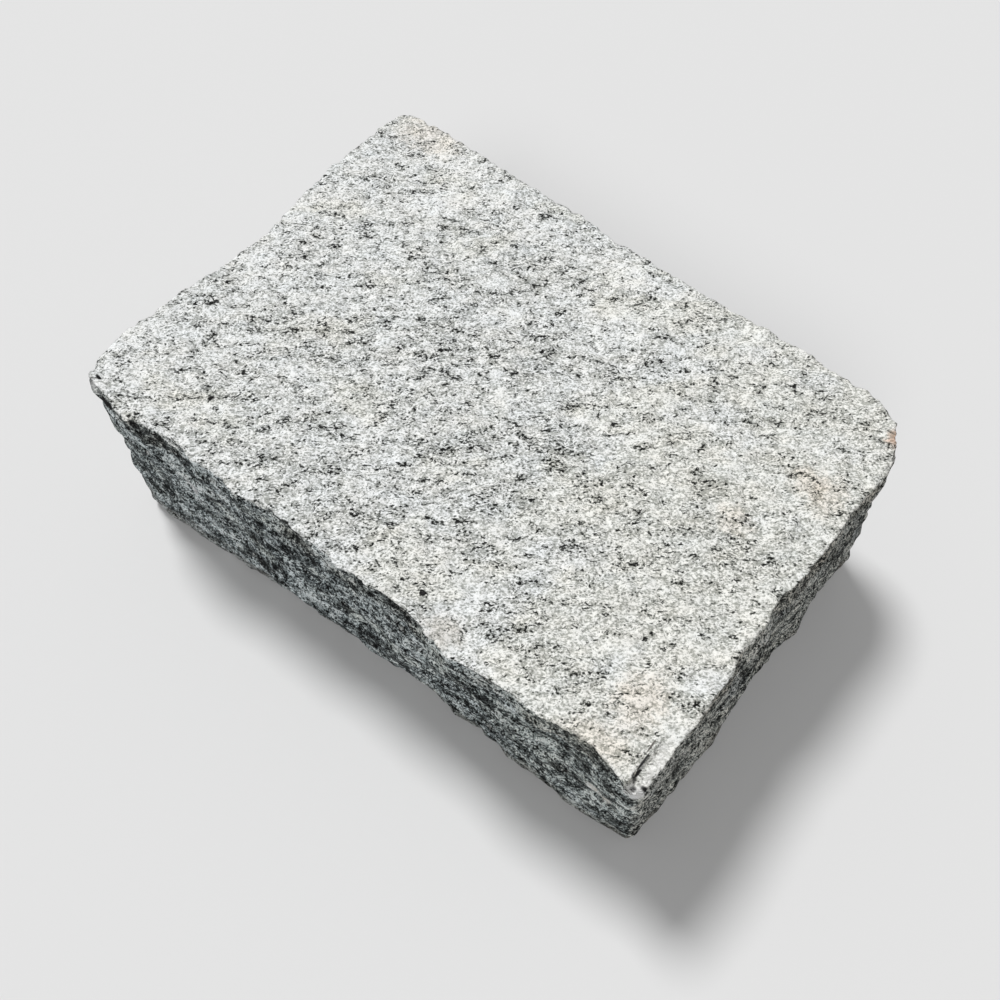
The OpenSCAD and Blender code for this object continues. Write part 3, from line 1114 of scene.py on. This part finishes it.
    def build(self) -> bpy.types.Material:
        """Builds the material.

        Returns:
            The finished material.
        """
        shader = Shader(bpy.data.materials.new(self.name))
        at = self.ground(shader)
        top, side = self.top_grain(shader), self.side_grain(shader, at.spot)
        fleck = 0.70 * top.clump + top.grain + 0.28 * top.fine
        flecks = (at.beside * (side.fleck + 0.050 - 0.025 * at.behind)
                  + (1.0 - at.beside) * (fleck - 0.9 * at.pale - 0.028 * at.clear))
        # The sides take the darker, bluer side colours: painted shade.
        colour = shader.blend(at.beside, self.top_colour(shader, at, top),
                              self.side_colour(shader, at, side))
        colour = self.flecked(shader, colour, at, flecks)
        surface = shader.node("BsdfPrincipled", {}, {
            "Base Color": self.tinted(shader, colour, at),
            "Roughness": self.roughness + 0.8 * top.body,
            "IOR": self.refraction,
            "Specular IOR Level": self.reflection,
            "Normal": self.bumps(shader, at, top, side, fleck),
        })
        shader.node("OutputMaterial", {}, {"Surface": shader.wire(surface)})
        return shader.owner


# ---------------------------------------------------------------- studio

@dataclass
class Studio:
    """A plain pale floor, soft light and the camera."""

    floor_side: float = 12.0
    floor_seen: Colour = (0.70, 0.70, 0.70)
    floor_bounce: Colour = (0.32, 0.32, 0.33)
    floor_roughness: float = 0.9
    floor_reflection: float = 0.1
    sky_colour: tuple[float, float, float, float] = (1.0, 1.0, 1.0, 1.0)
    sky_seen: float = 0.80
    sky_light: float = 0.25
    lamp_way: Place = (-0.40, 0.10, 0.90)
    lamp_level: float = 0.745
    lamp_angle: float = math.radians(14.0)
    lamp_distance: float = 2.0
    fill_way: Place = (0.25, -0.70, 0.67)
    fill_level: float = 0.28
    fill_angle: float = math.radians(24.0)
    camera_side: Pair = (0.1457, -0.1717)
    camera_over_top: float = 0.274
    camera_turn: float = 39.4173
    camera_dip: float = 57.5
    lens: float = 36.0
    sensor: float = 36.0
    nearest: float = 0.01

    def floor(self) -> bpy.types.Object:
        """Lays the floor that the block stands on.

        Returns:
            The floor's object.
        """
        half = self.floor_side / 2
        mesh = bpy.data.meshes.new("floor")
        corners = [(-half, -half, 0), (half, -half, 0), (half, half, 0), (-half, half, 0)]
        mesh.from_pydata(corners, [], [(0, 1, 2, 3)])
        floor = bpy.data.objects.new("floor", mesh)
        bpy.context.scene.collection.objects.link(floor)
        shader = Shader(bpy.data.materials.new("floor_paint"))
        seen = shader.wire(shader.node("LightPath", {}, {}), "Is Camera Ray")
        paint = shader.node("BsdfPrincipled", {}, {
            "Base Color": shader.blend(seen, self.floor_bounce, self.floor_seen),
            "Roughness": self.floor_roughness,
            "Specular IOR Level": self.floor_reflection,
        })
        shader.node("OutputMaterial", {}, {"Surface": shader.wire(paint)})
        mesh.materials.append(shader.owner)
        return floor

    def sky(self) -> None:
        """Lights the scene evenly from all round, and shows a pale backdrop."""
        world = bpy.data.worlds.new("backdrop")
        bpy.context.scene.world = world
        shader = Shader(world)
        seen = shader.wire(shader.node("LightPath", {}, {}), "Is Camera Ray")
        glow, backdrop = (
            shader.wire(shader.node("Background", {}, {"Color": self.sky_colour, "Strength": level}))
            for level in (self.sky_light, self.sky_seen)
        )
        mix = shader.wire(shader.node("MixShader", {}, {0: seen, 1: glow, 2: backdrop}))
        shader.node("OutputWorld", {}, {"Surface": mix})

    def lamp(self, name: str, way: Place, level: float, angle: float) -> bpy.types.Object:
        """Adds a soft lamp far away.

        Args:
            name: the lamp's name.
            way: direction from the block to the lamp.
            level: how bright a white surface that faces it looks, from 0 to 1.
            angle: how wide the lamp looks from the block.

        Returns:
            The lamp's object.
        """
        data = bpy.data.lights.new(name, "SUN")
        data.angle = angle
        data.energy = level * math.pi
        lamp = bpy.data.objects.new(name, data)
        lamp.location = Vector(way).normalized() * self.lamp_distance
        lamp.rotation_euler = Vector(way).to_track_quat("Z", "Y").to_euler()
        bpy.context.scene.collection.objects.link(lamp)
        return lamp

    def camera(self) -> bpy.types.Object:
        """Sets up the camera over the block's near corner.

        Returns:
            The camera's object.
        """
        data = bpy.data.cameras.new("camera")
        data.lens = self.lens
        data.sensor_width = self.sensor
        data.clip_start = self.nearest
        camera = bpy.data.objects.new("camera", data)
        camera.location = (*self.camera_side, TOP * MM + self.camera_over_top)
        camera.rotation_euler = (math.radians(90.0 - self.camera_dip), 0.0,
                                 math.radians(self.camera_turn))
        bpy.context.scene.collection.objects.link(camera)
        bpy.context.scene.camera = camera
        return camera

    def build(self) -> None:
        """Sets up floor, light and camera."""
        self.floor()
        self.sky()
        self.lamp("lamp", self.lamp_way, self.lamp_level, self.lamp_angle)
        self.lamp("fill", self.fill_way, self.fill_level, self.fill_angle)
        self.camera()
        bpy.context.scene.view_settings.view_transform = "Standard"


def main() -> None:
    """Builds the stone, dresses it and sets up the studio."""
    logging.basicConfig(level=logging.INFO, format="%(message)s")
    stone = SplitStone()
    block = stone.build()
    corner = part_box(stone.node)[1] / MM
    stone.dress(block, Granite(corner.x, corner.y).build())
    log.info("%s: %d triangles", block.name, len(block.data.polygons))
    Studio().build()
    log.info("studio: floor, sky, two lamps and camera")


if __name__ == "__main__":
    main()
